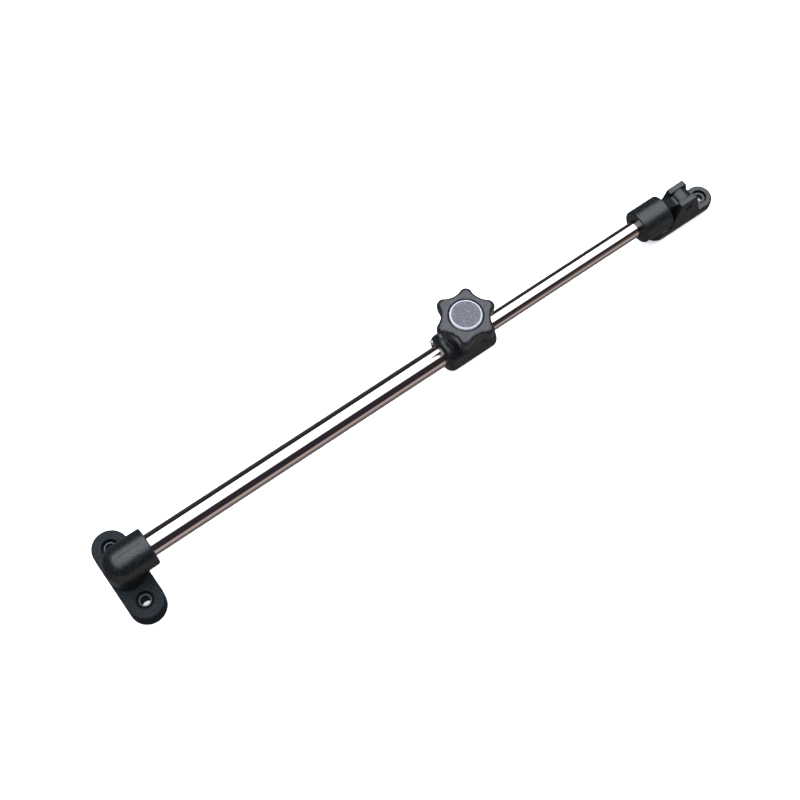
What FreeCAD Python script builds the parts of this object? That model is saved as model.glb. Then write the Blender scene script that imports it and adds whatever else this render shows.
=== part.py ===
import FreeCAD, Part
import math
import os

# Telescopic lockable stay: a thin rod slides in a polished tube and a star knob clamps it.
# Millimetres. The origin is the middle of the swivel base's mounting face, X runs along
# the tube towards the hinge bracket, and Z is up, along the swivel and the knob.

# Fits and gaps
running_gap = 0.08        # radial play of a piece that slides or turns in another
slip_gap = 0.05           # radial play of a piece pushed into its seat
axial_gap = 0.1           # play between flat faces that turn on each other
free_gap = 0.3            # room between faces that never bear on each other
press_gap = 0.01          # room left in the model round a pressed pin

# Telescopic tube and rod
rod_radius = 4.75
rod_room = 0.6            # radial room between the rod and the tube's bore
tube_wall = 1.0
axis_height = 28.3        # tube axis above the swivel base's mounting face
tube_start = 4.0          # tube end inside the elbow, from the swivel axis
rod_visible = 106.5       # bare rod between the clamp body and the rod socket
retraction = 104.0        # travel inwards from the drawn position
extension = 88.0          # travel outwards from the drawn position
end_room = 4.0            # what is left beyond the rod at the end of either travel

# Swivel base: a stadium plate across the tube
base_hole_spacing = 35.0
base_half_width = 10.25
base_thickness = 11.2
base_hole_radius = 2.8
base_sink_radius = 5.0
base_sink_depth = 4.0
base_collar_radius = 3.35   # moulded collar round the hole, standing up in the sink
base_collar_drop = 0.8      # collar below the plate's top
plate_edge_radius = 1.2

# Elbow and its pivot
elbow_radius = 10.8       # the barrel and its domed end
post_top_radius = 10.7
post_foot_radius = 9.7
elbow_reach = 16.6        # elbow mouth, from the swivel axis
mouth_edge_radius = 1.0
mould_line_width = 0.4
mould_line_depth = 0.3
mould_line_start = -2.0
mould_line_end = 13.6
pivot_radius = 3.0
pivot_head_radius = 5.5
pivot_head_height = 3.2
pivot_head_sink = 0.6     # head below the mounting face
pivot_key_flats = 4.0
pivot_key_depth = 2.0
spring_washer_thickness = 0.6
spring_washer_radius = 5.8
friction_washer_thickness = 0.5
friction_washer_radius = 9.2
pivot_insert_radius = 4.5
pivot_insert_length = 8.6
set_screw_radius = 2.0
set_screw_key_flats = 2.0
set_screw_key_depth = 1.5
set_screw_sink = 0.6      # set screw below the surface that it is driven into

# Clamp body
clamp_centre = 219.0
clamp_half_length = 15.9
clamp_radius = 11.3
clamp_edge_radius = 3.4
tube_seat_depth = 10.4
boss_radius = 10.8
boss_top = 18.9           # above the tube axis
boss_edge_radius = 1.0
boss_root_radius = 0.6
guide_bush_length = 8.5
guide_bush_wall = 1.7
guide_bush_sink = 0.4
collar_screw_head_radius = 1.5
collar_screw_recess_radius = 2.0
collar_screw_head_height = 1.1
collar_screw_shank_radius = 0.9
collar_screw_proud = 0.5    # head beyond the clamp body's end face
collar_screw_length = 7.0
collar_screw_wall = 0.1      # between the tube and the screw's recess
collar_screw_angle = 22.0    # above the horizontal, on the +Y side

# Clamping screw and star knob
screw_radius = 3.0
screw_insert_radius = 5.0
screw_insert_length = 8.5
pad_radius = 3.6
pad_height = 3.1          # from the top of the rod's gap to the screw tip
pad_skirt = 1.3           # how far the pad's saddle hangs down beside the rod
knob_radius = 17.4
knob_valley_radius = 13.3
knob_lobes = 6
knob_tip_radius = 3.4
knob_phase = 53.3         # direction of one lobe, degrees from X
knob_height = 10.1
knob_edge_radius = 3.1
knob_foot_edge_radius = 2.2
hub_radius = 6.6
hub_height = 1.3          # hub below the lobes
knob_hollow_inner = 7.8
knob_hollow_outer = 10.9
knob_hollow_depth = 6.0
screw_grip = 6.4          # screw length moulded into the knob, above the hub's foot
cap_radius = 8.85
cap_groove = 0.85
cap_sink = 1.6
cap_proud = 0.75
cap_bevel = 0.6
cap_peg_radius = 2.6
cap_peg_length = 1.8

# Rod stop inside the tube
stop_length = 9.8
stop_spigot_radius = 3.5
stop_clip_thickness = 0.8
stop_clip_radius = 4.5
stop_clip_groove = 0.5
stop_clip_mouth = 4.4

# Rod socket with its tongue
socket_radius = 9.9
socket_length = 19.1
socket_depth = 13.0
socket_edge_radius = 1.1
tongue_half_width = 3.1
tongue_radius = 6.0
neck_root_half_height = 6.4   # at the socket's shoulder
neck_eye_half_height = 3.0    # where it runs into the eye
neck_root_radius = 1.2
tongue_bush_radius = 3.1
pin_radius = 2.25
pin_from_socket = 13.8    # hinge pin beyond the socket's shoulder
pin_sink = 1.0
pin_washer_thickness = 0.3
pin_washer_radius = 4.4

# Hinge bracket
bracket_hole_spacing = 33.0
bracket_half_width = 7.6
bracket_thickness = 5.1
bracket_drop = 18.15      # mounting face below the tube axis
bracket_sink_radius = 4.5
bracket_sink_depth = 3.0
bracket_collar_radius = 3.4
bracket_collar_drop = 1.2
bracket_hole_radius = 2.25
ear_draft = 0.6           # how much each ear leans in from the plate's side to its top
ear_top = 6.3             # above the pin
ear_top_back = 5.9        # top edge towards the socket, from the pin
ear_top_front = 5.5       # top edge away from the socket, from the pin
ear_foot_back = 11.2
ear_foot_front = 10.6
ear_corner_radius = 1.2
ear_edge_radius = 0.8
ear_root_radius = 1.4
ear_toe = 1.4             # reach of the rounded foot beyond the ear

# Worked out from the values above
bore_radius = rod_radius + rod_room
tube_radius = bore_radius + tube_wall
elbow_foot = base_thickness + friction_washer_thickness + axial_gap
pivot_sink_depth = pivot_head_sink + pivot_head_height + spring_washer_thickness + axial_gap
clamp_left = clamp_centre - clamp_half_length
clamp_right = clamp_centre + clamp_half_length
tube_end = clamp_left + tube_seat_depth
rod_bore_radius = rod_radius + running_gap
guide_bush_radius = rod_bore_radius + guide_bush_wall
guide_bush_end = clamp_right - guide_bush_sink
guide_bush_start = guide_bush_end - guide_bush_length
boss_height = axis_height + boss_top
collar_screw_offset = tube_radius + collar_screw_wall + collar_screw_recess_radius
screw_insert_foot = boss_height - screw_insert_length
pad_foot = axis_height + rod_radius + free_gap - pad_skirt
pad_top = axis_height + rod_radius + free_gap + pad_height
hub_foot = boss_height + free_gap
knob_foot = hub_foot + hub_height
knob_top = knob_foot + knob_height
cap_foot = knob_top - cap_sink
screw_top = hub_foot + screw_grip
socket_left = clamp_right + rod_visible
socket_right = socket_left + socket_length
rod_end = socket_left + socket_depth
pin_x = socket_right + pin_from_socket
rod_start = tube_start + end_room + retraction
stop_end = rod_start + stop_clip_thickness + 2 * free_gap + stop_length
rod_shoulder = stop_end + axial_gap
clip_start = stop_end - stop_length - axial_gap - stop_clip_thickness
ear_inner = tongue_half_width + pin_washer_thickness + 2 * axial_gap
pin_reach = bracket_half_width - ear_draft - pin_sink
bracket_foot = axis_height - bracket_drop
bracket_top = bracket_foot + bracket_thickness

along_x = FreeCAD.Vector(1, 0, 0)
along_y = FreeCAD.Vector(0, 1, 0)
along_z = FreeCAD.Vector(0, 0, 1)


def upright(radius, bottom, top, x=0.0, y=0.0):
    """Round bar along Z."""
    return Part.makeCylinder(radius, top - bottom, FreeCAD.Vector(x, y, bottom), along_z)


def level(radius, start, end, y=0.0, z=axis_height):
    """Round bar along X, on the tube axis unless told otherwise."""
    return Part.makeCylinder(radius, end - start, FreeCAD.Vector(start, y, z), along_x)


def across(radius, left, right, x, z=axis_height):
    """Round bar along Y."""
    return Part.makeCylinder(radius, right - left, FreeCAD.Vector(x, left, z), along_y)


def hexagon(flats, bottom, top, x=0.0):
    """Hexagonal bar along Z, for a key socket."""
    corner = flats / math.sqrt(3)
    turns = [math.radians(60 * side) for side in range(7)]
    points = [FreeCAD.Vector(x + corner * math.cos(t), corner * math.sin(t), bottom) for t in turns]
    return Part.Face(Part.makePolygon(points)).extrude(along_z * (top - bottom))


def stadium(spacing, radius, bottom, top, x=0.0, lengthwise=along_x):
    """Plate with parallel sides and two round ends, centred on x."""
    side = along_y if lengthwise == along_x else along_x
    centre = FreeCAD.Vector(x, 0, bottom)
    near = centre - lengthwise * (spacing / 2)
    far = centre + lengthwise * (spacing / 2)
    edges = [
        Part.LineSegment(near + side * radius, far + side * radius).toShape(),
        Part.Arc(far + side * radius, far + lengthwise * radius, far - side * radius).toShape(),
        Part.LineSegment(far - side * radius, near - side * radius).toShape(),
        Part.Arc(near - side * radius, near - lengthwise * radius, near + side * radius).toShape(),
    ]
    return Part.Face(Part.Wire(edges)).extrude(along_z * (top - bottom))


def edges_at_height(shape, height):
    """Edges of a shape that lie in one horizontal plane."""
    found = []
    for edge in shape.Edges:
        box = edge.BoundBox
        if abs(box.ZMin - height) < 1e-6 and abs(box.ZMax - height) < 1e-6:
            found.append(edge)
    return found


def edges_at_station(shape, x):
    """Edges of a shape that lie in one plane across the tube."""
    found = []
    for edge in shape.Edges:
        box = edge.BoundBox
        if abs(box.XMin - x) < 1e-6 and abs(box.XMax - x) < 1e-6:
            found.append(edge)
    return found


def tapered(foot_radius, top_radius, bottom, top, x=0.0, y=0.0):
    """Cone frustum along Z."""
    return Part.makeCone(foot_radius, top_radius, top - bottom, FreeCAD.Vector(x, y, bottom), along_z)


def screw_hole(hole_radius, sink, bottom, face, above, x, y):
    """Through hole inside a low collar that stands up in the middle of a round sink."""
    sink_radius, sink_depth, collar_radius, collar_drop = sink
    moat = upright(sink_radius, face - sink_depth, above, x, y)
    moat = moat.cut(upright(collar_radius, bottom, face - collar_drop, x, y))
    return moat.fuse(upright(hole_radius, bottom - 1, above, x, y))


def set_screw(x, outside_radius, seat_radius):
    """Headless hexagon-socket screw driven up from below into the tube or rod."""
    foot = axis_height - outside_radius + set_screw_sink
    body = upright(set_screw_radius, foot, axis_height - seat_radius, x)
    key = hexagon(set_screw_key_flats, foot - 1, foot + set_screw_key_depth, x)
    return body.cut(key)


def set_screw_hole(x, outside_radius):
    return upright(set_screw_radius, axis_height - outside_radius - 1, axis_height, x)


elbow_screw_x = (post_top_radius + elbow_reach) / 2
socket_screw_x = socket_left + socket_depth / 2


def make_swivel_base():
    plate = stadium(base_hole_spacing, base_half_width, 0, base_thickness, lengthwise=along_y)
    plate = plate.makeFillet(plate_edge_radius, edges_at_height(plate, base_thickness))
    spots = [(0, side * base_hole_spacing / 2) for side in (-1, 1)]
    sink = (base_sink_radius, base_sink_depth, base_collar_radius, base_collar_drop)
    for x, y in spots:
        plate = plate.cut(screw_hole(base_hole_radius, sink, 0, base_thickness, base_thickness + 1, x, y))
    plate = plate.cut(upright(pivot_radius + running_gap, -1, base_thickness + 1))
    return plate.cut(upright(spring_washer_radius + free_gap, -1, pivot_sink_depth))


def make_elbow():
    """Domed barrel over a post that narrows towards its foot."""
    centre = FreeCAD.Vector(0, 0, axis_height)
    tip = centre - along_x * elbow_radius
    crown = centre + along_z * elbow_radius
    middle = centre + (along_z - along_x) * (elbow_radius * math.sqrt(0.5))
    mouth = FreeCAD.Vector(elbow_reach, 0, axis_height)
    outline = Part.Wire([
        Part.Arc(tip, middle, crown).toShape(),
        Part.LineSegment(crown, mouth + along_z * elbow_radius).toShape(),
        Part.LineSegment(mouth + along_z * elbow_radius, mouth).toShape(),
        Part.LineSegment(mouth, tip).toShape(),
    ])
    barrel = Part.Face(outline).revolve(centre, along_x, 360)
    barrel = barrel.makeFillet(mouth_edge_radius, edges_at_station(barrel, elbow_reach))
    post = tapered(post_foot_radius, post_top_radius, elbow_foot, axis_height)
    elbow = barrel.fuse(post)
    mould_line = Part.makeBox(mould_line_end - mould_line_start, mould_line_width, elbow_radius)
    mould_line.translate(FreeCAD.Vector(mould_line_start, -mould_line_width / 2,
                                        axis_height + elbow_radius - mould_line_depth))
    elbow = elbow.cut(mould_line)
    elbow = elbow.cut(level(tube_radius + slip_gap, tube_start, elbow_reach + 1))
    elbow = elbow.cut(upright(pivot_insert_radius, elbow_foot - 1, elbow_foot + pivot_insert_length))
    return elbow.cut(set_screw_hole(elbow_screw_x, elbow_radius))


def make_pivot_insert():
    sleeve = upright(pivot_insert_radius, elbow_foot, elbow_foot + pivot_insert_length)
    return sleeve.cut(upright(pivot_radius, elbow_foot - 1, elbow_foot + pivot_insert_length + 1))


def make_pivot_bolt():
    head_top = pivot_head_sink + pivot_head_height
    head = upright(pivot_head_radius, pivot_head_sink, head_top)
    shank = upright(pivot_radius, head_top, elbow_foot + pivot_insert_length - axial_gap)
    bolt = head.fuse(shank)
    return bolt.cut(hexagon(pivot_key_flats, -1, pivot_head_sink + pivot_key_depth))


def make_spring_washer():
    foot = pivot_head_sink + pivot_head_height
    washer = upright(spring_washer_radius, foot, foot + spring_washer_thickness)
    return washer.cut(upright(pivot_radius + slip_gap, foot - 1, foot + spring_washer_thickness + 1))


def make_friction_washer():
    top = base_thickness + friction_washer_thickness
    washer = upright(friction_washer_radius, base_thickness, top)
    return washer.cut(upright(pivot_radius + running_gap, base_thickness - 1, top + 1))


def make_outer_tube():
    tube = level(tube_radius, tube_start, tube_end)
    return tube.cut(level(bore_radius, tube_start - 1, tube_end + 1))


def collar_screw_seat():
    return clamp_left - collar_screw_proud + collar_screw_head_height


def collar_screw_spot():
    turn = math.radians(collar_screw_angle)
    y = collar_screw_offset * math.cos(turn)
    return y, axis_height + collar_screw_offset * math.sin(turn)


def boss_root_edges(body):
    """The curve where the upright boss meets the barrel."""
    found = []
    for edge in body.Edges:
        point = edge.valueAt((edge.FirstParameter + edge.LastParameter) / 2)
        from_boss = abs(math.hypot(point.x - clamp_centre, point.y) - boss_radius)
        from_barrel = abs(math.hypot(point.y, point.z - axis_height) - clamp_radius)
        if from_boss < 1e-4 and from_barrel < 1e-4 and point.z > axis_height + free_gap:
            found.append(edge)
    return found


def make_clamp_body():
    barrel = level(clamp_radius, clamp_left, clamp_right)
    barrel = barrel.makeFillet(clamp_edge_radius, edges_at_station(barrel, clamp_left))
    barrel = barrel.makeFillet(clamp_edge_radius, edges_at_station(barrel, clamp_right))
    boss = upright(boss_radius, axis_height, boss_height, clamp_centre)
    boss = boss.makeFillet(boss_edge_radius, edges_at_height(boss, boss_height))
    body = barrel.fuse(boss)
    body = body.makeFillet(boss_root_radius, boss_root_edges(body))
    body = body.cut(level(tube_radius + slip_gap, clamp_left - 1, tube_end))
    body = body.cut(level(rod_bore_radius, tube_end - 1, clamp_right + 1))
    body = body.cut(level(guide_bush_radius, guide_bush_start, clamp_right + 1))
    pad_bore = upright(pad_radius + running_gap, axis_height, screw_insert_foot + 1, clamp_centre)
    body = body.cut(pad_bore)
    body = body.cut(upright(screw_insert_radius, screw_insert_foot, boss_height + 1, clamp_centre))
    y, z = collar_screw_spot()
    head_seat = collar_screw_seat()
    body = body.cut(level(collar_screw_recess_radius, clamp_left - 1, head_seat, y, z))
    return body.cut(level(collar_screw_shank_radius, clamp_left, head_seat + collar_screw_length, y, z))


def make_collar_screw():
    y, z = collar_screw_spot()
    seat = collar_screw_seat()
    head = level(collar_screw_head_radius, seat - collar_screw_head_height, seat, y, z)
    head = head.makeFillet(collar_screw_head_height * 0.4,
                           edges_at_station(head, seat - collar_screw_head_height))
    shank = level(collar_screw_shank_radius, seat, seat + collar_screw_length, y, z)
    slot = Part.makeBox(collar_screw_head_height * 0.8, 3 * collar_screw_head_radius, 0.5)
    slot.translate(FreeCAD.Vector(seat - 1.3 * collar_screw_head_height,
                                  y - 1.5 * collar_screw_head_radius, z - 0.25))
    return head.fuse(shank).cut(slot)


def make_guide_bush():
    bush = level(guide_bush_radius, guide_bush_start, guide_bush_end)
    return bush.cut(level(rod_bore_radius, guide_bush_start - 1, guide_bush_end + 1))


def make_screw_insert():
    sleeve = upright(screw_insert_radius, screw_insert_foot, boss_height, clamp_centre)
    bore = upright(screw_radius + slip_gap, screw_insert_foot - 1, boss_height + 1, clamp_centre)
    return sleeve.cut(bore)


def make_pressure_pad():
    pad = upright(pad_radius, pad_foot, pad_top, clamp_centre)
    reach = pad_radius + 1
    return pad.cut(level(rod_radius + free_gap, clamp_centre - reach, clamp_centre + reach))


def make_clamp_screw():
    foot = pad_top + axial_gap
    return upright(screw_radius, foot, screw_top, clamp_centre)


def polar(centre, radius, turn, height):
    return FreeCAD.Vector(centre + radius * math.cos(turn), radius * math.sin(turn), height)


def star_face(height):
    """Outline of round lobes joined by tangent hollows, one arc each."""
    step = math.pi / knob_lobes
    tip_centre = knob_radius - knob_tip_radius
    inset = knob_valley_radius - knob_tip_radius
    hollow_centre = (tip_centre ** 2 - inset ** 2) / (2 * (tip_centre * math.cos(step) - inset))
    hollow_radius = hollow_centre - knob_valley_radius
    share = knob_tip_radius / (knob_tip_radius + hollow_radius)
    arcs = []
    for lobe in range(knob_lobes):
        turn = math.radians(knob_phase) + 2 * step * lobe
        tip = polar(clamp_centre, tip_centre, turn, height)
        before = polar(clamp_centre, hollow_centre, turn - step, height)
        after = polar(clamp_centre, hollow_centre, turn + step, height)
        following = polar(clamp_centre, tip_centre, turn + 2 * step, height)
        lobe_start = tip + (before - tip) * share
        lobe_end = tip + (after - tip) * share
        hollow_end = following + (after - following) * share
        crest = polar(clamp_centre, knob_radius, turn, height)
        valley = polar(clamp_centre, knob_valley_radius, turn + step, height)
        arcs.append(Part.Arc(lobe_start, crest, lobe_end).toShape())
        arcs.append(Part.Arc(lobe_end, valley, hollow_end).toShape())
    return Part.Face(Part.Wire(arcs))


def make_star_knob():
    knob = star_face(knob_foot).extrude(along_z * knob_height)
    knob = knob.makeFillet(knob_edge_radius, edges_at_height(knob, knob_top))
    knob = knob.makeFillet(knob_foot_edge_radius, edges_at_height(knob, knob_foot))
    hollow = upright(knob_hollow_outer, knob_foot - 1, knob_foot + knob_hollow_depth, clamp_centre)
    core = upright(knob_hollow_inner, knob_foot - 1, knob_foot + knob_hollow_depth, clamp_centre)
    knob = knob.cut(hollow.cut(core))
    knob = knob.fuse(upright(hub_radius, hub_foot, knob_foot + 1, clamp_centre))
    knob = knob.cut(upright(cap_radius + cap_groove, cap_foot, knob_top + 1, clamp_centre))
    knob = knob.cut(upright(cap_peg_radius, cap_foot - cap_peg_length, cap_foot + 1, clamp_centre))
    return knob.cut(upright(screw_radius, hub_foot - 1, screw_top, clamp_centre))


def make_knob_cap():
    top = knob_top + cap_proud
    disc = upright(cap_radius, cap_foot, top, clamp_centre)
    disc = disc.makeChamfer(cap_bevel, edges_at_height(disc, top))
    return disc.fuse(upright(cap_peg_radius, cap_foot - cap_peg_length, cap_foot + 0.5, clamp_centre))


def make_inner_rod():
    rod = level(rod_radius, rod_shoulder, rod_end - axial_gap)
    spigot = level(stop_spigot_radius, rod_start, rod_shoulder)
    groove = level(stop_spigot_radius + 1, clip_start, clip_start + stop_clip_thickness)
    neck = level(stop_spigot_radius - stop_clip_groove, clip_start - 1, clip_start + stop_clip_thickness + 1)
    return rod.fuse(spigot.cut(groove.cut(neck)))


def make_stop_bush():
    bush = level(bore_radius - slip_gap, stop_end - stop_length, stop_end)
    return bush.cut(level(stop_spigot_radius + slip_gap, stop_end - stop_length - 1, stop_end + 1))


def make_stop_clip():
    clip_end = clip_start + stop_clip_thickness
    ring = level(stop_clip_radius, clip_start, clip_end)
    ring = ring.cut(level(stop_spigot_radius - stop_clip_groove, clip_start - 1, clip_end + 1))
    mouth = Part.makeBox(stop_clip_thickness + 2, stop_clip_mouth, stop_clip_radius + 1)
    mouth.translate(FreeCAD.Vector(clip_start - 1, -stop_clip_mouth / 2, axis_height))
    return ring.cut(mouth)


def make_tongue():
    """Round eye on a neck that narrows towards it, with hollows between the two."""
    start = socket_right - 1
    meeting_x = pin_x - math.sqrt(tongue_radius ** 2 - neck_eye_half_height ** 2)
    points = [
        FreeCAD.Vector(start, -tongue_half_width, axis_height - neck_root_half_height),
        FreeCAD.Vector(socket_right, -tongue_half_width, axis_height - neck_root_half_height),
        FreeCAD.Vector(meeting_x, -tongue_half_width, axis_height - neck_eye_half_height),
        FreeCAD.Vector(pin_x, -tongue_half_width, axis_height),
        FreeCAD.Vector(meeting_x, -tongue_half_width, axis_height + neck_eye_half_height),
        FreeCAD.Vector(socket_right, -tongue_half_width, axis_height + neck_root_half_height),
        FreeCAD.Vector(start, -tongue_half_width, axis_height + neck_root_half_height),
    ]
    neck = Part.Face(Part.makePolygon(points + points[:1])).extrude(along_y * 2 * tongue_half_width)
    eye = across(tongue_radius, -tongue_half_width, tongue_half_width, pin_x)
    tongue = neck.fuse(eye).removeSplitter()
    hollows = [e for e in tongue.Edges if abs(e.BoundBox.XMin - meeting_x) < 1e-3
               and abs(e.BoundBox.XMax - meeting_x) < 1e-3]
    return tongue.makeFillet(neck_root_radius, hollows)


def make_rod_socket():
    barrel = level(socket_radius, socket_left, socket_right)
    barrel = barrel.makeFillet(socket_edge_radius, edges_at_station(barrel, socket_left))
    barrel = barrel.makeFillet(socket_edge_radius, edges_at_station(barrel, socket_right))
    socket = barrel.fuse(make_tongue())
    root = [e for e in edges_at_station(socket, socket_right) if abs(e.BoundBox.YMax) < tongue_half_width + 1]
    socket = socket.makeFillet(neck_root_radius, root)
    socket = socket.cut(level(rod_radius + slip_gap, socket_left - 1, rod_end))
    socket = socket.cut(across(tongue_bush_radius, -tongue_half_width - 1, tongue_half_width + 1, pin_x))
    return socket.cut(set_screw_hole(socket_screw_x, socket_radius))


def make_tongue_bush():
    bush = across(tongue_bush_radius, -tongue_half_width, tongue_half_width, pin_x)
    bore = across(pin_radius + slip_gap, -tongue_half_width - 1, tongue_half_width + 1, pin_x)
    return bush.cut(bore)


def make_pin_washers():
    outer_face = tongue_half_width + pin_washer_thickness
    washers = []
    for left, right in ((-outer_face, -tongue_half_width), (tongue_half_width, outer_face)):
        washer = across(pin_washer_radius, left, right, pin_x)
        washers.append(washer.cut(across(pin_radius + running_gap, left - 1, right + 1, pin_x)))
    return Part.makeCompound(washers)


def ear_outline(y):
    """Ear seen from the side: it widens towards the plate, which its low toes are sunk into."""
    foot = bracket_top - bracket_thickness / 2
    top = axis_height + ear_top
    back = pin_x - ear_foot_back
    front = pin_x + ear_foot_front
    points = [
        FreeCAD.Vector(back - ear_toe, y, foot),
        FreeCAD.Vector(back - ear_toe, y, bracket_top),
        FreeCAD.Vector(back, y, bracket_top),
        FreeCAD.Vector(pin_x - ear_top_back, y, top),
        FreeCAD.Vector(pin_x + ear_top_front, y, top),
        FreeCAD.Vector(front, y, bracket_top),
        FreeCAD.Vector(front + ear_toe, y, bracket_top),
        FreeCAD.Vector(front + ear_toe, y, foot),
    ]
    return Part.Face(Part.makePolygon(points + points[:1]))


def ear_edges(ear, height, x_low, x_high):
    """The edges across an ear at one height, between two stations."""
    found = []
    for edge in ear.Edges:
        box = edge.BoundBox
        at_height = abs(box.ZMin - height) < 1e-6 and abs(box.ZMax - height) < 1e-6
        if at_height and box.XLength < 1e-6 and x_low < box.XMin < x_high:
            found.append(edge)
    return found


def make_ear(side):
    """One ear, flush with the plate's side at the bottom and leaning in above it."""
    width = bracket_half_width - ear_inner
    ear = ear_outline(ear_inner).extrude(along_y * width)
    top = axis_height + ear_top
    corners = ear_edges(ear, top, pin_x - 2 * ear_top_back, pin_x + 2 * ear_top_front)
    ear = ear.makeFillet(ear_corner_radius, corners)
    back = pin_x - ear_foot_back
    front = pin_x + ear_foot_front
    roots = ear_edges(ear, bracket_top, back - ear_toe / 2, front + ear_toe / 2)
    ear = ear.makeFillet(ear_root_radius, roots)
    wedge = Part.makePolygon([
        FreeCAD.Vector(back - 2 * ear_toe, bracket_half_width, bracket_top),
        FreeCAD.Vector(back - 2 * ear_toe, bracket_half_width - ear_draft, top),
        FreeCAD.Vector(back - 2 * ear_toe, bracket_half_width + 1, top),
        FreeCAD.Vector(back - 2 * ear_toe, bracket_half_width, bracket_top),
    ])
    ear = ear.cut(Part.Face(wedge).extrude(along_x * (front - back + 4 * ear_toe)))
    rim = [e for e in ear.Edges if e.BoundBox.ZMin > top - ear_corner_radius - 1e-3
           and e.BoundBox.YLength < ear_draft and e.BoundBox.YMin > ear_inner + ear_draft]
    ear = ear.makeFillet(ear_edge_radius, rim)
    if side < 0:
        ear = ear.mirror(FreeCAD.Vector(0, 0, 0), along_y)
    return ear


def make_bracket_base():
    plate = stadium(bracket_hole_spacing, bracket_half_width, bracket_foot, bracket_top, pin_x)
    plate = plate.makeFillet(plate_edge_radius, edges_at_height(plate, bracket_top))
    bracket = plate.fuse([make_ear(-1), make_ear(1)])
    sink = (bracket_sink_radius, bracket_sink_depth, bracket_collar_radius, bracket_collar_drop)
    above = bracket_top + 1
    for side in (-1, 1):
        x = pin_x + side * bracket_hole_spacing / 2
        bracket = bracket.cut(screw_hole(bracket_hole_radius, sink, bracket_foot, bracket_top, above, x, 0))
    pin_hole = across(pin_radius + press_gap, -bracket_half_width - 1, bracket_half_width + 1, pin_x)
    return bracket.cut(pin_hole).removeSplitter()


def make_pivot_pin():
    return across(pin_radius, -pin_reach, pin_reach, pin_x)


parts = {
    "swivel_base": make_swivel_base(),
    "friction_washer": make_friction_washer(),
    "swivel_elbow": make_elbow(),
    "pivot_insert": make_pivot_insert(),
    "pivot_bolt": make_pivot_bolt(),
    "spring_washer": make_spring_washer(),
    "elbow_set_screw": set_screw(elbow_screw_x, elbow_radius, tube_radius),
    "outer_tube": make_outer_tube(),
    "clamp_body": make_clamp_body(),
    "collar_screw": make_collar_screw(),
    "rod_guide_bush": make_guide_bush(),
    "screw_insert": make_screw_insert(),
    "pressure_pad": make_pressure_pad(),
    "clamp_screw": make_clamp_screw(),
    "star_knob": make_star_knob(),
    "knob_cap": make_knob_cap(),
    "inner_rod": make_inner_rod(),
    "stop_bush": make_stop_bush(),
    "stop_clip": make_stop_clip(),
    "rod_socket": make_rod_socket(),
    "socket_set_screw": set_screw(socket_screw_x, socket_radius, rod_radius),
    "tongue_bush": make_tongue_bush(),
    "pin_washers": make_pin_washers(),
    "bracket_base": make_bracket_base(),
    "pivot_pin": make_pivot_pin(),
}

os.makedirs("parts", exist_ok=True)
for node, shape in parts.items():
    shape.exportStep("parts/" + node + ".step")
print("pieces", len(parts), "pin x", round(pin_x, 2), "overall end", round(pin_x + bracket_hole_spacing / 2
      + bracket_half_width, 2), "knob top", round(knob_top + cap_proud, 2))
print("extension stops", round(tube_end - stop_end - extension, 2), "short of the clamp body")
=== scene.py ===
import math
import bmesh
import bpy
import numpy as np
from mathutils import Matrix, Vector


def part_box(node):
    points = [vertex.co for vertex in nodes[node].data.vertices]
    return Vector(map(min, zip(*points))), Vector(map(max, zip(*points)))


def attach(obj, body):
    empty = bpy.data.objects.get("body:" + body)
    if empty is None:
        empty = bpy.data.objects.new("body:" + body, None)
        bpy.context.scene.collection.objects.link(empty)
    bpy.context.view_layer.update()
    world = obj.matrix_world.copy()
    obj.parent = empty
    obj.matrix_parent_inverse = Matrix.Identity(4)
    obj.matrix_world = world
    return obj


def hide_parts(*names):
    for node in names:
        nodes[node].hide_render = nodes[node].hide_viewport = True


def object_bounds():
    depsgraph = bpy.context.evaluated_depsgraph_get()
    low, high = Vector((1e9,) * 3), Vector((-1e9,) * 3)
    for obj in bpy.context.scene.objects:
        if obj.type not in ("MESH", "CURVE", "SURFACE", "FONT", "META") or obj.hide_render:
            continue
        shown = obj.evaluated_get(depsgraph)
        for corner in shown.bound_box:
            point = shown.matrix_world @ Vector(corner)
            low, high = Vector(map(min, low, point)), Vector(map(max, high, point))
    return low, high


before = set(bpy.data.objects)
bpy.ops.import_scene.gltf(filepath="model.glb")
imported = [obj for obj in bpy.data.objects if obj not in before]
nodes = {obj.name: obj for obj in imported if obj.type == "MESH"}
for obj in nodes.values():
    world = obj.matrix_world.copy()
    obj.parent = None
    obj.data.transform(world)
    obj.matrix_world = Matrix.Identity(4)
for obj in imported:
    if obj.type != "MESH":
        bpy.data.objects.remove(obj)        # bodies, nodes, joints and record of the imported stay
cadLow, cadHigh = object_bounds()
mm = 0.001
hubRing = 0.3 * mm       # smallest ring of a turned piece, round the middle of its flat ends
noiseSpan = (0.3, 0.7)   # where nearly all values of a noise texture lie
mixFirst, mixSecond, mixResult = 6, 7, 2   # a Mix node's colour sockets
print("frame loaded:", len(nodes), "nodes")


# small helpers

def linear(hexColour):
    # an sRGB hex value as linear red, green, blue and full alpha
    parts = np.array([int(hexColour[i:i + 2], 16) for i in (1, 3, 5)]) / 255
    bright = np.where(parts <= 0.04045, parts / 12.92, ((parts + 0.055) / 1.055) ** 2.4)
    return (*bright.tolist(), 1.0)


def addNode(tree, kind, sockets=None, **settings):
    # one node with its settings; a socket gets a value, or a link where it is given an output
    node = tree.nodes.new(kind)
    for name, value in settings.items():
        setattr(node, name, value)
    for name, value in (sockets or {}).items():
        if isinstance(value, bpy.types.NodeSocket):
            tree.links.new(value, node.inputs[name])
        else:
            node.inputs[name].default_value = value
    return node


def newMaterial(name):
    material = bpy.data.materials.new(name)
    material.use_nodes = True
    material.node_tree.nodes.clear()
    return material, material.node_tree


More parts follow.
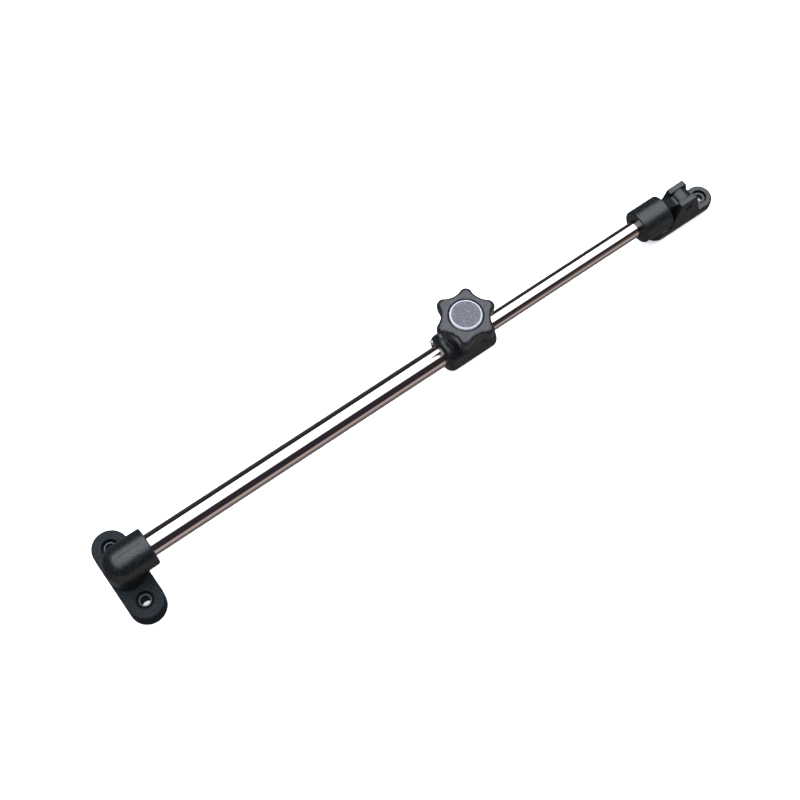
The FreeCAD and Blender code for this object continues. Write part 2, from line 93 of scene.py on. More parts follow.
def finishMaterial(tree, sockets):
    shader = addNode(tree, "ShaderNodeBsdfPrincipled", sockets)
    addNode(tree, "ShaderNodeOutputMaterial", {"Surface": shader.outputs["BSDF"]})


def finishGlow(tree, colour, strength):
    glow = addNode(tree, "ShaderNodeEmission", {"Color": colour, "Strength": strength})
    addNode(tree, "ShaderNodeOutputMaterial", {"Surface": glow.outputs["Emission"]})


def textureScale(size):
    # scale of a texture, per metre, for features of a size in millimetres
    return 1000 / size


def planMiddle(nodeName):
    # middle of a node's box, seen from above
    low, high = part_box(nodeName)
    return (low.x + high.x) / 2, (low.y + high.y) / 2


def ringMesh(name, points, loopRows=False):
    # rows of points, each row a closed ring: quads join every ring to the next one,
    # and a fan to the middle of the first and last ring closes an open run of rows
    rows, columns = points.shape[:2]
    down = np.arange(rows if loopRows else rows - 1)[:, None]
    across = np.arange(columns)[None, :]
    here, below = down * columns, (down + 1) % rows * columns
    beside = (across + 1) % columns
    quads = np.stack([here + across, here + beside, below + beside, below + across], -1).reshape(-1, 4)
    vertices = points.reshape(-1, 3)
    faces = quads.tolist()
    if not loopRows:
        ends = np.stack([points[0].mean(0), points[-1].mean(0)])
        vertices = np.vstack([vertices, ends])
        ring = across[0]
        last = (rows - 1) * columns
        hubs = np.full(columns, rows * columns)
        faces += np.stack([hubs, ring, beside[0]], -1).tolist()
        faces += np.stack([hubs + 1, last + ring, last + beside[0]], -1).tolist()
    mesh = bpy.data.meshes.new(name)
    mesh.from_pydata(vertices.tolist(), [], faces)
    shaped = bmesh.new()
    shaped.from_mesh(mesh)
    bmesh.ops.recalc_face_normals(shaped, faces=shaped.faces)
    shaped.to_mesh(mesh)
    shaped.free()
    mesh.polygons.foreach_set("use_smooth", np.ones(len(mesh.polygons), bool))
    piece = bpy.data.objects.new(name, mesh)
    bpy.context.scene.collection.objects.link(piece)
    return piece


def roundedOutline(corners, closed=False, steps=8, guard=0.12 * mm):
    # corners are (along, radius, rounding): each rounding is a tangent arc with one guard
    # point on the straight run either side of it, so that flat faces shade flat
    spots = np.array([corner[:2] for corner in corners], float)
    run = []
    for i, corner in enumerate(corners):
        here = spots[i]
        if not closed and i in (0, len(corners) - 1):
            run.append(here[None])
            continue
        before, after = spots[i - 1] - here, spots[(i + 1) % len(corners)] - here
        before, after = before / np.linalg.norm(before), after / np.linalg.norm(after)
        half = math.acos(max(-1.0, min(1.0, float(before @ after)))) / 2
        reach = corner[2] / math.tan(half)
        bisector = (before + after) / np.linalg.norm(before + after)
        middle = here + bisector * corner[2] / math.sin(half)
        share = np.linspace(-1, 1, steps)[:, None] * (math.pi / 2 - half)
        side = np.array([-bisector[1], bisector[0]])
        side = side if side @ before < 0 else -side
        arc = middle + corner[2] * (np.sin(share) * side - np.cos(share) * bisector)
        run.append(np.vstack([here + before * (reach + guard), arc, here + after * (reach + guard)]))
    return np.vstack(run)


def spunPoints(outline, centre, axis, around=160):
    # a profile of (along, radius) turned about an axis: point = centre + along * axis
    # + radius * (cos turn, sin turn) in the plane across it
    turn = np.linspace(0, 2 * math.pi, around, endpoint=False)
    along, radius = outline[:, 0][:, None], outline[:, 1][:, None]
    flat = np.ones_like(turn)[None, :]
    if axis == "x":
        parts = [along * flat, radius * np.cos(turn), radius * np.sin(turn)]
    elif axis == "y":
        parts = [radius * np.sin(turn), along * flat, radius * np.cos(turn)]
    else:
        parts = [radius * np.cos(turn), radius * np.sin(turn), along * flat]
    return np.stack(parts, -1) + np.array(centre, float)


def finishPiece(piece, body, material, replaced):
    piece.data.materials.append(material)
    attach(piece, body)
    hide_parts(replaced)


# materials

steelLook = {
    "colour": "#C3B8B3",      # reflectance of polished stainless, a little warm
    "roughness": 0.07,
    "smudge": 0.035,          # how much roughness wanders over the surface
    "smudgeSize": 14,         # mm, handling marks
    "lineSize": 0.25,         # mm, lines left by the polishing belt round the tube
    "lineDepth": 0.0006,      # mm
    "lineStretch": 0.04,      # scale across the tube against 1 along it, so that lines run round it
}


def polishedStainless():
    # 304 stainless tube, belt polished and buffed: mirror bands with slightly soft borders
    look = steelLook
    material, tree = newMaterial("polishedStainless")
    coords = addNode(tree, "ShaderNodeTexCoord").outputs["Object"]
    smudge = addNode(tree, "ShaderNodeTexNoise", {
        "Vector": coords, "Scale": textureScale(look["smudgeSize"]), "Detail": 3.0}).outputs["Fac"]
    rough = addNode(tree, "ShaderNodeMapRange", {
        "Value": smudge, "From Min": noiseSpan[0], "From Max": noiseSpan[1],
        "To Min": look["roughness"], "To Max": look["roughness"] + look["smudge"]}).outputs["Result"]
    stretched = addNode(tree, "ShaderNodeMapping", {
        "Vector": coords, "Scale": (1.0, look["lineStretch"], look["lineStretch"])}).outputs["Vector"]
    lines = addNode(tree, "ShaderNodeTexNoise", {
        "Vector": stretched, "Scale": textureScale(look["lineSize"]), "Detail": 2.0}).outputs["Fac"]
    bump = addNode(tree, "ShaderNodeBump", {
        "Height": lines, "Strength": 1.0, "Distance": look["lineDepth"] * mm}).outputs["Normal"]
    finishMaterial(tree, {"Base Color": linear(look["colour"]), "Metallic": 1.0,
                          "Roughness": rough, "Normal": bump})
    return material


mouldedLooks = {
    # name: colour, speck colour, roughness, share of the usual sheen, grain in mm, depth in mm
    "mouldedBlackNylon": {"colour": "#0A0E0F", "speck": "#252B2E", "roughness": 0.34,
                          "sheen": 0.36, "grain": 1.2, "depth": 0.10},
    "erodedBlackNylon": {"colour": "#181D1F", "speck": "#282F32", "roughness": 0.60,
                         "sheen": 0.08, "grain": 1.0, "depth": 0.07},
    "mouldedKnobNylon": {"colour": "#0D0F11", "speck": "#33373B", "roughness": 0.38,
                         "sheen": 0.42, "grain": 1.1, "depth": 0.12},
    "greyCapPlastic": {"colour": "#3F3F46", "speck": "#65656D", "roughness": 0.38,
                       "sheen": 0.36, "grain": 1.0, "depth": 0.06},
    "naturalNylonBush": {"colour": "#D9D4C4", "speck": "#E6E2D6", "roughness": 0.35,
                         "sheen": 0.5, "grain": 0.5, "depth": 0.004},
}


def awayFrom(tree, coords, centre, reach):
    # distance in plan from the nearest of the upright axes at centre plus or minus reach
    offset = addNode(tree, "ShaderNodeVectorMath", {0: coords, 1: (*centre, 0)}, operation="SUBTRACT")
    folded = addNode(tree, "ShaderNodeVectorMath", {0: offset.outputs[0]}, operation="ABSOLUTE")
    nearest = addNode(tree, "ShaderNodeVectorMath", {
        0: folded.outputs[0], 1: (*reach, 0)}, operation="SUBTRACT")
    flat = addNode(tree, "ShaderNodeVectorMath", {
        0: nearest.outputs[0], 1: (1, 1, 0)}, operation="MULTIPLY")
    return addNode(tree, "ShaderNodeVectorMath", {0: flat.outputs[0]}, operation="LENGTH").outputs["Value"]


def ringShare(tree, away, inner, outer, soft=0.08 * mm):
    # one inside a ring about an axis and nothing outside it, with a soft border
    start = addNode(tree, "ShaderNodeMapRange", {
        "Value": away, "From Min": inner - soft, "From Max": inner + soft}).outputs["Result"]
    end = addNode(tree, "ShaderNodeMapRange", {
        "Value": away, "From Min": outer - soft, "From Max": outer + soft,
        "To Min": 1.0, "To Max": 0.0}).outputs["Result"]
    return addNode(tree, "ShaderNodeMath", {0: start, 1: end}, operation="MULTIPLY").outputs[0]


mouldedSurface = {
    "cloudSize": 9.0,             # mm, patches that shine a little more or less
    "clouded": (-0.03, 0.05),     # roughness of those patches against the look's own
    "specks": (0.50, 0.72),       # stretch of the grain over which the speck colour comes in
    "ior": 1.53,
}


def mouldedPlastic(name, ring=None):
    # injection moulded plastic from a spark-eroded tool: a soft sheen broken by an even grain,
    # drawn about three times as coarse as the real one, so that it shows; an optional ring
    # in plan is painted paler, a painted highlight where a bevel or a collar ledge catches the light
    look = mouldedLooks[name]
    material, tree = newMaterial(name if ring is None else name + "_" + ring["name"])
    coords = addNode(tree, "ShaderNodeTexCoord").outputs["Object"]
    cloud = addNode(tree, "ShaderNodeTexNoise", {
        "Vector": coords, "Scale": textureScale(mouldedSurface["cloudSize"]), "Detail": 4.0}).outputs["Fac"]
    grain = addNode(tree, "ShaderNodeTexNoise", {
        "Vector": coords, "Scale": textureScale(look["grain"]), "Detail": 3.0,
        "Roughness": 0.6}).outputs["Fac"]
    first, full = mouldedSurface["specks"]
    specks = addNode(tree, "ShaderNodeMapRange", {
        "Value": grain, "From Min": first, "From Max": full}).outputs["Result"]
    shown = addNode(tree, "ShaderNodeMix", {
        "Factor": specks, mixFirst: linear(look["colour"]), mixSecond: linear(look["speck"])},
        data_type="RGBA").outputs[mixResult]
    if ring is not None:
        away = awayFrom(tree, coords, ring["centre"], ring["reach"])
        shown = addNode(tree, "ShaderNodeMix", {
            "Factor": ringShare(tree, away, ring["inner"], ring["outer"]),
            mixFirst: shown, mixSecond: linear(ring["colour"])}, data_type="RGBA").outputs[mixResult]
    smoother, rougher = mouldedSurface["clouded"]
    rough = addNode(tree, "ShaderNodeMapRange", {
        "Value": cloud, "From Min": noiseSpan[0], "From Max": noiseSpan[1],
        "To Min": look["roughness"] + smoother, "To Max": look["roughness"] + rougher}).outputs["Result"]
    bump = addNode(tree, "ShaderNodeBump", {
        "Height": grain, "Strength": 1.0, "Distance": look["depth"] * mm}).outputs["Normal"]
    finishMaterial(tree, {"Base Color": shown, "IOR": mouldedSurface["ior"],
                          "Specular IOR Level": look["sheen"], "Roughness": rough, "Normal": bump})
    return material


metalLooks = {
    # name: colour, lowest and highest roughness, turning mark pitch in mm, mark depth in mm
    "turnedBrass": {"colour": "#D9B86A", "roughness": (0.19, 0.32), "pitch": 0.25, "depth": 0.004},
    "turnedStainless": {"colour": "#B9B6B2", "roughness": (0.21, 0.34), "pitch": 0.2, "depth": 0.004},
}


def turnedMetal(name):
    # small parts turned on a lathe: a bright metal with fine cutting marks that spread its glints
    look = metalLooks[name]
    material, tree = newMaterial(name)
    coords = addNode(tree, "ShaderNodeTexCoord").outputs["Object"]
    marks = addNode(tree, "ShaderNodeTexNoise", {
        "Vector": coords, "Scale": textureScale(look["pitch"]), "Detail": 2.0}).outputs["Fac"]
    rough = addNode(tree, "ShaderNodeMapRange", {
        "Value": marks, "From Min": noiseSpan[0], "From Max": noiseSpan[1],
        "To Min": look["roughness"][0], "To Max": look["roughness"][1]}).outputs["Result"]
    bump = addNode(tree, "ShaderNodeBump", {
        "Height": marks, "Strength": 0.6, "Distance": look["depth"] * mm}).outputs["Normal"]
    finishMaterial(tree, {"Base Color": linear(look["colour"]), "Metallic": 1.0,
                          "Roughness": rough, "Normal": bump})
    return material


capLow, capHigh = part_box("knob_cap")
capRadius = (capHigh.x - capLow.x) / 2

# rings painted paler in plan: each is a painted highlight on a bevel or a collar ledge
paintedHighlightRings = {
    # one ring stands at the centre plus the reach and one at the centre less the reach
    # painted highlight: the cap's bevel and rim are painted pale, as if catching the overhead light
    "cap": {"name": "paintedBevelHighlight", "centre": planMiddle("knob_cap"), "reach": (0, 0),
            "inner": capRadius - 0.9 * mm, "outer": capRadius + mm, "colour": "#B4B4BC"},
    # painted highlight: the flat collar ledges round the holes of both feet are painted paler, as if lit
    # from overhead
    "base": {"name": "paintedLedgeHighlight", "centre": (0, 0), "reach": (0, 17.5 * mm),
             "inner": 2.85 * mm, "outer": 3.35 * mm, "colour": "#50565A"},
    "bracket": {"name": "paintedLedgeHighlight", "centre": planMiddle("pivot_pin"), "reach": (16.5 * mm, 0),
                "inner": 2.85 * mm, "outer": 3.4 * mm, "colour": "#2A2E32"},
}

stainless = polishedStainless()
blackNylon = mouldedPlastic("mouldedBlackNylon")
knobNylon = mouldedPlastic("mouldedKnobNylon")
capPlastic = mouldedPlastic("greyCapPlastic", paintedHighlightRings["cap"])
erodedNylon = mouldedPlastic("erodedBlackNylon", paintedHighlightRings["base"])
bracketNylon = mouldedPlastic("mouldedBlackNylon", paintedHighlightRings["bracket"])
bushNylon = mouldedPlastic("naturalNylonBush")
brass = turnedMetal("turnedBrass")
turnedSteel = turnedMetal("turnedStainless")

nodeFinishes = {
    "swivel_base": erodedNylon, "swivel_elbow": blackNylon, "clamp_body": blackNylon,
    "rod_socket": blackNylon, "bracket_base": bracketNylon, "star_knob": knobNylon,
    "knob_cap": capPlastic, "outer_tube": stainless, "inner_rod": stainless,
    "friction_washer": bushNylon, "rod_guide_bush": bushNylon, "stop_bush": bushNylon,
    "tongue_bush": bushNylon, "pivot_insert": brass, "screw_insert": brass,
    "pressure_pad": brass, "pivot_bolt": turnedSteel, "spring_washer": turnedSteel,
    "elbow_set_screw": turnedSteel, "socket_set_screw": turnedSteel,
    "collar_screw": turnedSteel, "clamp_screw": turnedSteel, "stop_clip": turnedSteel,
    "pin_washers": turnedSteel, "pivot_pin": turnedSteel,
}
for nodeName, material in nodeFinishes.items():
    finish = nodes[nodeName].data.materials
    finish.clear()
    finish.append(material)
print("materials ready")


# tube and rod

tube = {
    "wall": 1.0 * mm,
    "edgeRounding": 0.25 * mm,
    "around": 192,
}


def makeTube():
    # the tube's wall section, a thin rectangle with rounded corners, turned about the tube axis
    low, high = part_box("outer_tube")
    outside = (high.z - low.z) / 2
    inside = outside - tube["wall"]
    places = [(low.x, outside), (high.x, outside), (high.x, inside), (low.x, inside)]
    outline = roundedOutline([(*place, tube["edgeRounding"]) for place in places], closed=True)
    points = spunPoints(outline, (0, 0, (low.z + high.z) / 2), "x", tube["around"])
    piece = ringMesh("polished_tube", points, loopRows=True)
    finishPiece(piece, "arm", stainless, "outer_tube")


rod = {
    "spigotRadius": 3.5 * mm,
    "grooveRadius": 3.0 * mm,
    "shoulderGap": 0.1 * mm,      # between the stop bush and the rod's shoulder
    "innerRounding": 0.3 * mm,
    "shoulderRounding": 0.2 * mm,
    "outerRounding": 0.5 * mm,
    "softEdge": 0.05 * mm,        # rounding of the small inner corners
    "around": 160,
}


def makeRod():
    # the rod's half section, with the stepped spigot for the stop at its inner end,
    # turned about the rod axis and closed at both ends
    low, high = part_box("inner_rod")
    clipLow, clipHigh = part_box("stop_clip")
    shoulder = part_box("stop_bush")[1].x + rod["shoulderGap"]
    radius = (high.z - low.z) / 2
    spigot, groove, soft = rod["spigotRadius"], rod["grooveRadius"], rod["softEdge"]
    corners = [(low.x, hubRing, 0), (low.x, spigot, rod["innerRounding"]),
               (clipLow.x, spigot, soft), (clipLow.x, groove, soft),
               (clipHigh.x, groove, soft), (clipHigh.x, spigot, soft),
               (shoulder, spigot, soft), (shoulder, radius, rod["shoulderRounding"]),
               (high.x, radius, rod["outerRounding"]), (high.x, hubRing, 0)]
    outline = roundedOutline(corners, guard=0.04 * mm)
    points = spunPoints(outline, (0, 0, (low.z + high.z) / 2), "x", rod["around"])
    piece = ringMesh("polished_rod", points)
    finishPiece(piece, "rod", stainless, "inner_rod")


makeTube()
makeRod()
print("tube and rod made")


# star knob, cap and clamping screw

knob = {
    "lobes": 6,
    "radius": 17.4 * mm,
    "valley": 13.3 * mm,
    "tip": 3.4 * mm,          # radius of each lobe's end
    "phase": 53.3,            # direction of one lobe, degrees from X
    "topRounding": 3.3 * mm,
    "hollowRounding": 1.7 * mm,
    "footRounding": 2.6 * mm,
    "draft": 0.35 * mm,       # how much the walls draw in towards the foot
    "recess": 9.7 * mm,
    "recessDepth": 1.6 * mm,
    "pegHole": 2.6 * mm,
    "pegDepth": 1.8 * mm,
    "hollowOuter": 10.9 * mm,
    "hollowInner": 7.8 * mm,
    "hollowDepth": 6.0 * mm,
    "hub": 6.6 * mm,
    "hubHeight": 1.3 * mm,
    "screwHole": 3.0 * mm,
    "screwGrip": 6.4 * mm,
    "lip": 0.35 * mm,         # rounding of the recess's mouth
    "guard": 0.1 * mm,        # rows this close to a sharp corner keep both its faces flat
    "perArc": 30,             # points on each arc of the outline
    "lipRows": 6,
    "topRows": 16,
    "footRows": 14,
}


def starOutline():
    # the lobes are arcs of the tip radius about points on one circle, joined by hollow arcs
    # about points midway between them: returns points on the outline and outward normals
    step = math.pi / knob["lobes"]
    tipCentre = knob["radius"] - knob["tip"]
    inset = knob["valley"] - knob["tip"]
    hollowCentre = (tipCentre ** 2 - inset ** 2) / (2 * (tipCentre * math.cos(step) - inset))
    hollow = hollowCentre - knob["valley"]
    offset = np.array([hollowCentre * math.cos(step) - tipCentre, hollowCentre * math.sin(step)])
    lean = math.atan2(offset[1], offset[0])
    middle = np.array([hollowCentre * math.cos(step), hollowCentre * math.sin(step)])
    tipTurn = np.linspace(-lean, lean, knob["perArc"], endpoint=False)
    tipNormal = np.stack([np.cos(tipTurn), np.sin(tipTurn)], -1)
    tipPoints = np.array([tipCentre, 0]) + knob["tip"] * tipNormal
    back = lean + math.pi
    sweep = 2 * (lean - step)
    hollowTurn = back - np.linspace(0, sweep, knob["perArc"], endpoint=False)
    ray = np.stack([np.cos(hollowTurn), np.sin(hollowTurn)], -1)
    points = np.vstack([tipPoints, middle + hollow * ray])
    normals = np.vstack([tipNormal, -ray])
    turns = math.radians(knob["phase"]) + 2 * step * np.arange(knob["lobes"])
    spin = np.stack([[np.cos(turns), -np.sin(turns)], [np.sin(turns), np.cos(turns)]])
    return (np.einsum("ijk,pj->kpi", spin, points).reshape(-1, 2),
            np.einsum("ijk,pj->kpi", spin, normals).reshape(-1, 2))


def makeKnob():
    # rows follow one section from the peg hole up through the cap recess, over the top, down
    # the wall, under the foot and up the screw hole: a wall row is the star outline moved
    # along its normals, a round row is a circle, and face rows blend one into the other
    low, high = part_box("star_knob")
    hubFoot, top = low.z, high.z
    foot = hubFoot + knob["hubHeight"]
    outline, normals = starOutline()
    count = len(outline)
    directions = outline / np.linalg.norm(outline, axis=1, keepdims=True)
    rows = []

    def quarterTurn(steps):
        return np.linspace(0, math.pi / 2, steps)

    def circle(radius, z):
        rows.append(np.column_stack([directions * radius, np.full(count, z)]))

    def drawnIn(inset):
        return outline - normals * np.broadcast_to(inset, count)[:, None]

    def star(inset, z):
        rows.append(np.column_stack([drawnIn(inset), np.broadcast_to(z, count)]))

    def blend(inset, radius, z, shares):
        for share in shares:
            flat = drawnIn(inset) * (1 - share) + directions * radius * share
            rows.append(np.column_stack([flat, np.full(count, z)]))

    # the top is rounded over most at the lobes' ends and least in the hollows
    outwards = (np.linalg.norm(outline, axis=1) - knob["valley"]) / (knob["radius"] - knob["valley"])
    rounding = knob["hollowRounding"] + (knob["topRounding"] - knob["hollowRounding"]) * outwards

    guard, lip = knob["guard"], knob["lip"]
    recessFloor = top - knob["recessDepth"]
    circle(knob["pegHole"], recessFloor - knob["pegDepth"])
    circle(knob["pegHole"], recessFloor - guard)
    circle(knob["pegHole"] + guard, recessFloor)
    circle(knob["recess"] - guard, recessFloor)
    circle(knob["recess"], recessFloor + guard)
    for turn in quarterTurn(knob["lipRows"]):
        circle(knob["recess"] + lip * (1 - math.cos(turn)), top - lip * (1 - math.sin(turn)))
    blend(rounding, knob["recess"] + lip, top, np.linspace(0.9, 0.0, 8))
    for turn in quarterTurn(knob["topRows"])[1:]:
        star(rounding * (1 - math.sin(turn)), top - rounding * (1 - math.cos(turn)))
    # the wall draws in evenly, by a tenth of the draft at its upper row and nine at its lower
    star(knob["draft"] * 0.1, top - knob["topRounding"] - guard)
    star(knob["draft"] * 0.9, foot + knob["footRounding"] + guard)
    for turn in quarterTurn(knob["footRows"]):
        star(knob["draft"] + knob["footRounding"] * (1 - math.cos(turn)),
             foot + knob["footRounding"] * (1 - math.sin(turn)))
    blend(knob["draft"] + knob["footRounding"], knob["hollowOuter"], foot, np.linspace(0.15, 1.0, 6))
    circle(knob["hollowOuter"], foot + knob["hollowDepth"] - guard)
    circle(knob["hollowOuter"] - guard, foot + knob["hollowDepth"])
    circle(knob["hollowInner"] + guard, foot + knob["hollowDepth"])
    circle(knob["hollowInner"], foot + knob["hollowDepth"] - guard)
    circle(knob["hollowInner"], foot + guard)
    circle(knob["hollowInner"] - guard, foot)
    circle(knob["hub"], foot)
    circle(knob["hub"], hubFoot + guard)
    circle(knob["hub"] - guard, hubFoot)
    circle(knob["screwHole"], hubFoot)
    circle(knob["screwHole"], hubFoot + knob["screwGrip"])
    points = np.stack(rows) + np.array([*planMiddle("star_knob"), 0])
    piece = ringMesh("textured_knob", points)
    finishPiece(piece, "knob", knobNylon, "star_knob")


cap = {
    "bevel": 0.6 * mm,
    "peg": 2.55 * mm,
    "pegLength": 1.8 * mm,
    "thickness": 2.35 * mm,   # of the disc above its seat
    "softEdge": 0.12 * mm,
    "around": 192,
}


def makeCap():
    # a disc with a bevelled and softened rim over a short peg, one section turned about Z
    low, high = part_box("knob_cap")
    radius = (high.x - low.x) / 2
    seat = high.z - cap["thickness"]
    pegFoot = seat - cap["pegLength"]
    soft = cap["softEdge"]
    corners = [(pegFoot, hubRing, 0), (pegFoot, cap["peg"], soft),
               (seat, cap["peg"], soft), (seat, radius, soft), (high.z - cap["bevel"], radius, soft),
               (high.z, radius - cap["bevel"], soft), (high.z, hubRing, 0)]
    outline = roundedOutline(corners, guard=0.03 * mm)
    points = spunPoints(outline, (*planMiddle("knob_cap"), 0), "z", cap["around"])
    piece = ringMesh("bevelled_cap", points)
    finishPiece(piece, "knob", capPlastic, "knob_cap")


thread = {
    "pitch": 1.0 * mm,
    "depth": 0.55 * mm,
    "plainTop": 6.6 * mm,     # unthreaded length that the knob is moulded round
    "tipTaper": 0.8 * mm,
    "runOut": 0.5 * mm,       # over which the thread dies away
    "rows": 340,
    "around": 64,
}


def makeScrew():
    # radius = outside radius less the thread depth times a triangle wave of the height in
    # pitches less the turn; the wave dies away before the moulded-in length, and the tip tapers
    low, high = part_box("clamp_screw")
    radius = (high.x - low.x) / 2
    z = np.linspace(low.z, high.z, thread["rows"])[:, None]
    turn = np.linspace(0, 2 * math.pi, thread["around"], endpoint=False)[None, :]
    wave = np.abs(((z / thread["pitch"] - turn / (2 * math.pi)) % 1.0) * 2 - 1)
    tip = np.clip((z - low.z) / thread["tipTaper"], 0, 1)
    fade = np.clip((high.z - thread["plainTop"] - z) / thread["runOut"], 0, 1)
    out = radius - thread["depth"] * wave * fade - thread["depth"] * (1 - tip)
    x, y = planMiddle("clamp_screw")
    points = np.stack([x + out * np.cos(turn), y + out * np.sin(turn), z + 0 * turn], -1)
    piece = ringMesh("threaded_screw", points)
    finishPiece(piece, "knob", turnedSteel, "clamp_screw")


makeKnob()
makeCap()
makeScrew()
print("knob, cap and screw made")


# stage, light and camera: sizes in metres unless they say mm

tableTilt = 1.0   # degrees that the table rises along X, so that both feet are near it


def makeSheet(name, xRange, yRange, z):
    # a flat sheet between two corners, one face
    mesh = bpy.data.meshes.new(name)
    (x0, x1), (y0, y1) = xRange, yRange
    mesh.from_pydata([(x0, y0, z), (x1, y0, z), (x1, y1, z), (x0, y1, z)], [], [(0, 1, 2, 3)])
    sheet = bpy.data.objects.new(name, mesh)
    bpy.context.scene.collection.objects.link(sheet)
    return sheet


def tiltSheet(sheet):
    # height = height plus the distance along X from the base's end times the slope
    slope = math.tan(math.radians(tableTilt))
    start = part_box("swivel_base")[1].x
    for vertex in sheet.data.vertices:
        vertex.co.z += (vertex.co.x - start) * slope


def dressSheet(sheet, material, *hiddenFrom):
    # its material, and the kinds of rays that pass it by
    sheet.data.materials.append(material)
    for rays in hiddenFrom:
        setattr(sheet, "visible_" + rays, False)


diffuser = {
    "x": (-1.2, 1.9),
    "y": (-0.85, 1.70),
    "height": 1.25,
    "fade": 0.42,              # width of the soft border
    "strength": 4.6,
    "colour": "#F1F6FF",
}


def makePanel():
    # one wide diffuser overhead whose brightness falls off smoothly towards its edges
    panel = makeSheet("overhead_diffuser", diffuser["x"], diffuser["y"], diffuser["height"])
    material, tree = newMaterial("diffuserGlow")
    coords = addNode(tree, "ShaderNodeTexCoord").outputs["Object"]
    split = addNode(tree, "ShaderNodeSeparateXYZ", {"Vector": coords})
    strength = diffuser["strength"]
    for axis, (low, high) in (("X", diffuser["x"]), ("Y", diffuser["y"])):
        for start, inside in ((low, low + diffuser["fade"]), (high, high - diffuser["fade"])):
            fade = addNode(tree, "ShaderNodeMapRange", {
                "Value": split.outputs[axis], "From Min": start, "From Max": inside},
                interpolation_type="SMOOTHSTEP").outputs["Result"]
            strength = addNode(tree, "ShaderNodeMath", {
                0: strength, 1: fade}, operation="MULTIPLY").outputs[0]
    finishGlow(tree, linear(diffuser["colour"]), strength)
    dressSheet(panel, material, "camera", "shadow")


floorLook = {
    "radius": 1.6,
    "fade": 0.9,
    "sink": 0.05 * mm,         # below the base's mounting face
    "colour": "#F6F6F5",
    "roughness": 0.9,
    "glow": 0.45,
}


def makeFloor():
    # a pale matt table top that fades out into the white round it, seen by the camera alone
    centre = (cadLow + cadHigh) / 2
    reach = floorLook["radius"]
    floor = makeSheet("floor", (centre.x - reach, centre.x + reach), (-reach, reach), -floorLook["sink"])
    tiltSheet(floor)
    material, tree = newMaterial("paleFloor")
    coords = addNode(tree, "ShaderNodeTexCoord").outputs["Object"]
    offset = addNode(tree, "ShaderNodeVectorMath", {0: coords, 1: (centre.x, 0, 0)}, operation="SUBTRACT")
    distance = addNode(tree, "ShaderNodeVectorMath", {0: offset.outputs[0]},
                       operation="LENGTH").outputs["Value"]
    fade = addNode(tree, "ShaderNodeMapRange", {
        "Value": distance, "From Min": reach - floorLook["fade"], "From Max": reach,
        "To Min": 1.0, "To Max": 0.0}, interpolation_type="SMOOTHSTEP").outputs["Result"]
    finishMaterial(tree, {
        "Base Color": linear(floorLook["colour"]), "Roughness": floorLook["roughness"], "Alpha": fade,
        "Emission Color": linear("#FFFFFF"), "Emission Strength": floorLook["glow"]})
    dressSheet(floor, material, "glossy", "diffuse", "shadow")


bounceLook = {
    "x": (-1.6, 2.0),
    "sink": 0.4 * mm,
    # what the table sends back across its width: place along Y and glow there
    "ramp": [
        (-1.20, "#3A3741"), (-0.80, "#9C9590"), (-0.30, "#C4BBB6"), (-0.17, "#DED4CE"),
        (-0.09, "#E9DCD6"), (-0.065, "#CFC8C6"), (-0.047, "#A9A5A6"), (-0.033, "#7E7D80"),
        (0.0, "#737376"), (0.020, "#8E8E91"), (0.045, "#747478"), (0.087, "#5C5C61"),
        (0.20, "#4F4D54"), (0.50, "#3A3741"),
    ],
}


def makeBounce():
    # the light that the table sends back: a glow that changes across the table, never seen
    # directly, which gives polished metal its banded lower half
    ramp = bounceLook["ramp"]
    bounce = makeSheet("table_bounce", bounceLook["x"], (ramp[0][0], ramp[-1][0]), -bounceLook["sink"])
    tiltSheet(bounce)
    material, tree = newMaterial("tableGlow")
    coords = addNode(tree, "ShaderNodeTexCoord").outputs["Object"]
    y = addNode(tree, "ShaderNodeSeparateXYZ", {"Vector": coords}).outputs["Y"]
    shown = linear(ramp[0][1])
    for (start, _), (end, colour) in zip(ramp[:-1], ramp[1:]):
        share = addNode(tree, "ShaderNodeMapRange", {
            "Value": y, "From Min": start, "From Max": end}).outputs["Result"]
        shown = addNode(tree, "ShaderNodeMix", {
            "Factor": share, mixFirst: shown, mixSecond: linear(colour)},
            data_type="RGBA").outputs[mixResult]
    finishGlow(tree, shown, 1.0)
    dressSheet(bounce, material, "camera", "diffuse", "shadow")


cardLook = {
    "x": (0.50, 1.9),
    "y": -1.0,
    "height": 0.52,
    "strength": (0.40, 0.045),   # at its foot and at its top
    "fade": 0.25,                # width over which its near end comes in
    "colour": "#FFF0E6",
}


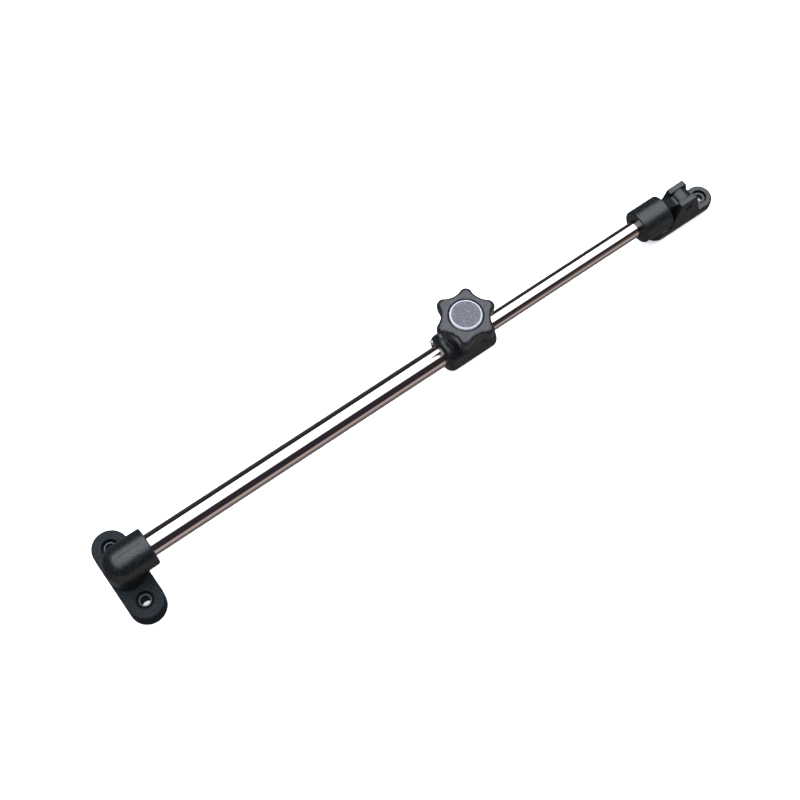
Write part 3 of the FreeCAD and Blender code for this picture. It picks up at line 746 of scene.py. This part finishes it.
def makeCard():
    # a warm card beyond the rod end, brighter towards its foot, seen only in polished metal
    x0, x1 = cardLook["x"]
    footGlow, topGlow = cardLook["strength"]
    card = makeSheet("warm_card", (x0, x1), (0, cardLook["height"]), 0)
    for vertex in card.data.vertices:
        vertex.co.z = vertex.co.y
        vertex.co.y = cardLook["y"]
    material, tree = newMaterial("warmCardGlow")
    coords = addNode(tree, "ShaderNodeTexCoord").outputs["Object"]
    split = addNode(tree, "ShaderNodeSeparateXYZ", {"Vector": coords})
    rise = addNode(tree, "ShaderNodeMapRange", {
        "Value": split.outputs["Z"], "From Min": 0.0, "From Max": cardLook["height"],
        "To Min": footGlow, "To Max": topGlow}).outputs["Result"]
    side = addNode(tree, "ShaderNodeMapRange", {
        "Value": split.outputs["X"], "From Min": x0, "From Max": x0 + cardLook["fade"]}).outputs["Result"]
    both = addNode(tree, "ShaderNodeMath", {0: rise, 1: side}, operation="MULTIPLY").outputs[0]
    strength = addNode(tree, "ShaderNodeMath", {0: both, 1: topGlow}, operation="MAXIMUM").outputs[0]
    finishGlow(tree, linear(cardLook["colour"]), strength)
    dressSheet(card, material, "camera", "diffuse", "shadow")


surround = {
    "room": "#3A3741",
    "whiteStrength": 1.05,
}


def makeSurround():
    # a dark room for light and reflections, and plain white where the camera looks past the floor
    world = bpy.data.worlds.new("darkRoom")
    bpy.context.scene.world = world
    world.use_nodes = True
    tree = world.node_tree
    tree.nodes.clear()
    room = addNode(tree, "ShaderNodeBackground", {"Color": linear(surround["room"]), "Strength": 1.0})
    white = addNode(tree, "ShaderNodeBackground", {
        "Color": linear("#FFFFFF"), "Strength": surround["whiteStrength"]})
    seen = addNode(tree, "ShaderNodeLightPath").outputs["Is Camera Ray"]
    mix = addNode(tree, "ShaderNodeMixShader", {0: seen, 1: room.outputs[0], 2: white.outputs[0]})
    addNode(tree, "ShaderNodeOutputWorld", {"Surface": mix.outputs[0]})
    bpy.context.scene.view_settings.view_transform = "Standard"


shot = {
    "azimuth": -35.7,         # degrees
    "elevation": 65.9,
    "distance": 0.8128,
    "lens": 67.5,             # millimetres, as the camera takes them
    "sensor": 36,
    "aim": (-23.0 * mm, -7.2 * mm, -5.4 * mm),   # from the middle of the object
}


def makeCamera():
    # looks at the aim point from the given angles, level with the floor
    target = (cadLow + cadHigh) / 2 + Vector(shot["aim"])
    a, e = math.radians(shot["azimuth"]), math.radians(shot["elevation"])
    back = Vector((math.sin(a) * math.cos(e), -math.cos(a) * math.cos(e), math.sin(e)))
    data = bpy.data.cameras.new("camera")
    data.lens = shot["lens"]
    data.sensor_width = shot["sensor"]
    camera = bpy.data.objects.new("camera", data)
    bpy.context.scene.collection.objects.link(camera)
    camera.location = target + back * shot["distance"]
    camera.rotation_mode = "QUATERNION"
    camera.rotation_quaternion = (-back).to_track_quat("-Z", "Y")
    bpy.context.scene.camera = camera


makePanel()
makeFloor()
makeBounce()
makeCard()
makeSurround()
makeCamera()
print("stage, light and camera ready")
